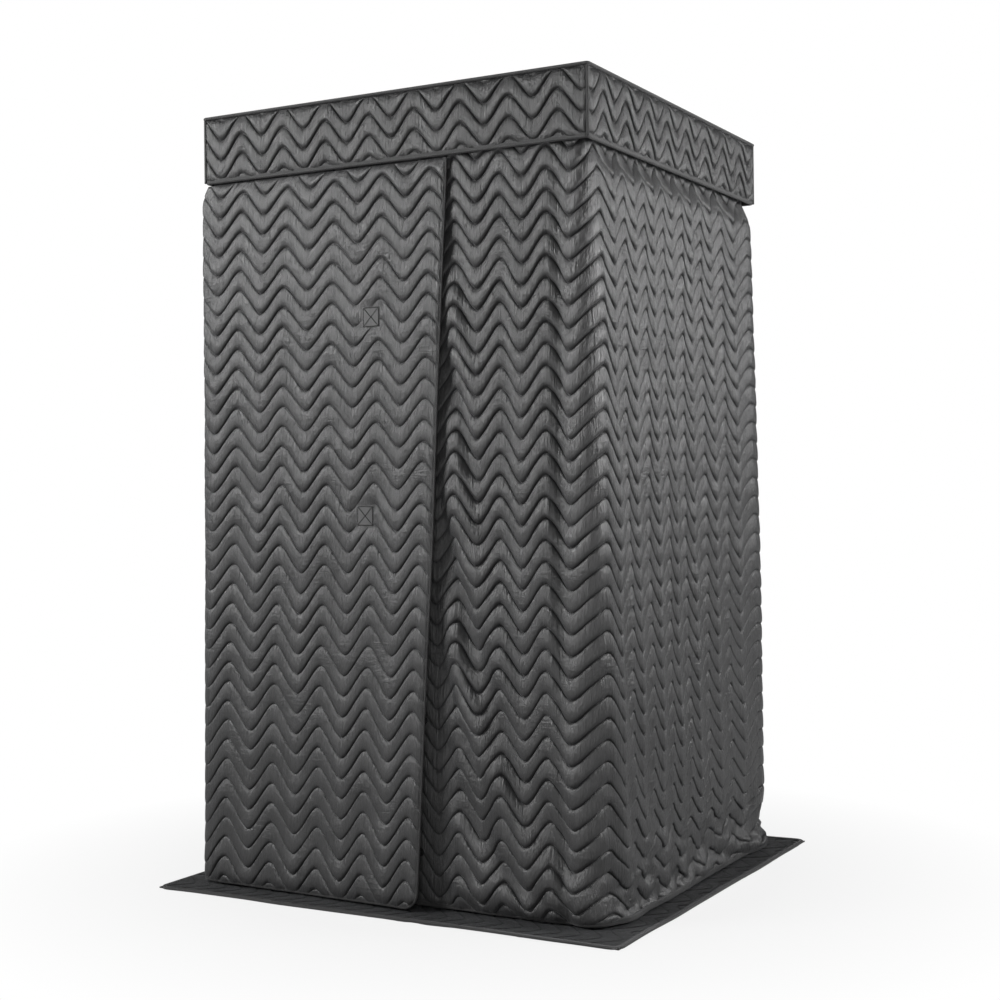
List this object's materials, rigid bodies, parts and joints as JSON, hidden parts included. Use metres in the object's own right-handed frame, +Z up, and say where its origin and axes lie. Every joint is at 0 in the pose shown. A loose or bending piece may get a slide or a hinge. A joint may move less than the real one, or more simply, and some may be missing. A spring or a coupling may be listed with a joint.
{
  "type": "quilted enclosure tent",
  "caption": "Tall square walk-in enclosure of black zigzag-quilted fabric over a hidden tube frame, with a flap door, a lift-off roof cover with valance, and a floor mat.",
  "frame": {"origin": "on the floor, at the centre of the footprint, under the floor mat", "axes": "+Z up, the door is on the -Y side, and it hangs from the -X side"},
  "size_m": [1.3, 1.3, 2],
  "materials": {
    "quilted_fabric": "black satin polyester, quilted in zigzag rows over a thin pad",
    "edge_binding": "folded black tape, twin stitched",
    "webbing": "black ribbed webbing",
    "touch_tape": "black hook and loop tape",
    "steel_tube": "light grey powder coat on steel tube",
    "moulded_socket": "black moulded nylon",
    "rubber_foot": "black rubber",
    "magnet": "nickel plated disc"
  },
  "bodies": {
    "booth": {"floor_mat": "quilted_fabric", "floor_mat_binding": "edge_binding", "base_rail_front": "steel_tube", "base_rail_back": "steel_tube", "base_rail_left": "steel_tube", "base_rail_right": "steel_tube", "lower_post_front_left": "steel_tube", "lower_post_front_right": "steel_tube", "lower_post_back_left": "steel_tube", "lower_post_back_right": "steel_tube", "upper_post_front_left": "steel_tube", "upper_post_front_right": "steel_tube", "upper_post_back_left": "steel_tube", "upper_post_back_right": "steel_tube", "post_couplers": "moulded_socket", "top_rail_front": "steel_tube", "top_rail_back": "steel_tube", "top_rail_left": "steel_tube", "top_rail_right": "steel_tube", "base_corner_front_left": "moulded_socket", "base_corner_front_right": "moulded_socket", "base_corner_back_left": "moulded_socket", "base_corner_back_right": "moulded_socket", "top_corner_front_left": "moulded_socket", "top_corner_front_right": "moulded_socket", "top_corner_back_left": "moulded_socket", "top_corner_back_right": "moulded_socket", "foot_caps": "rubber_foot", "roof_bar_front": "steel_tube", "roof_bar_back": "steel_tube", "roof_bar_clips": "moulded_socket", "wall_curtain": "quilted_fabric", "wall_hem_binding": "edge_binding", "front_edge_binding": "edge_binding", "door_header": "quilted_fabric", "wall_hanger_straps": "webbing", "wall_loop_tape": "touch_tape", "front_magnets": "magnet"},
    "door": {"door_flap": "quilted_fabric", "door_edge_binding": "edge_binding", "door_pull_strap": "webbing", "door_magnets": "magnet"},
    "roof_cover": {"roof_panel": "quilted_fabric", "valance_front": "quilted_fabric", "valance_back": "quilted_fabric", "valance_left": "quilted_fabric", "valance_right": "quilted_fabric", "roof_piping": "edge_binding", "valance_corner_piping": "edge_binding", "valance_hem_binding": "edge_binding", "roof_hook_tape": "touch_tape"}
  },
  "joints": [
    {"name": "door_swing", "type": "hinge", "parent": "booth", "child": "door", "pos_m": [-0.544, -0.544, 1], "axis": [0, 0, -1], "range_deg": [0, 120]},
    {"name": "roof_cover_lift", "type": "slide", "parent": "booth", "child": "roof_cover", "axis": [0, 0, 1], "range_m": [0, 0.25]}
  ]
}
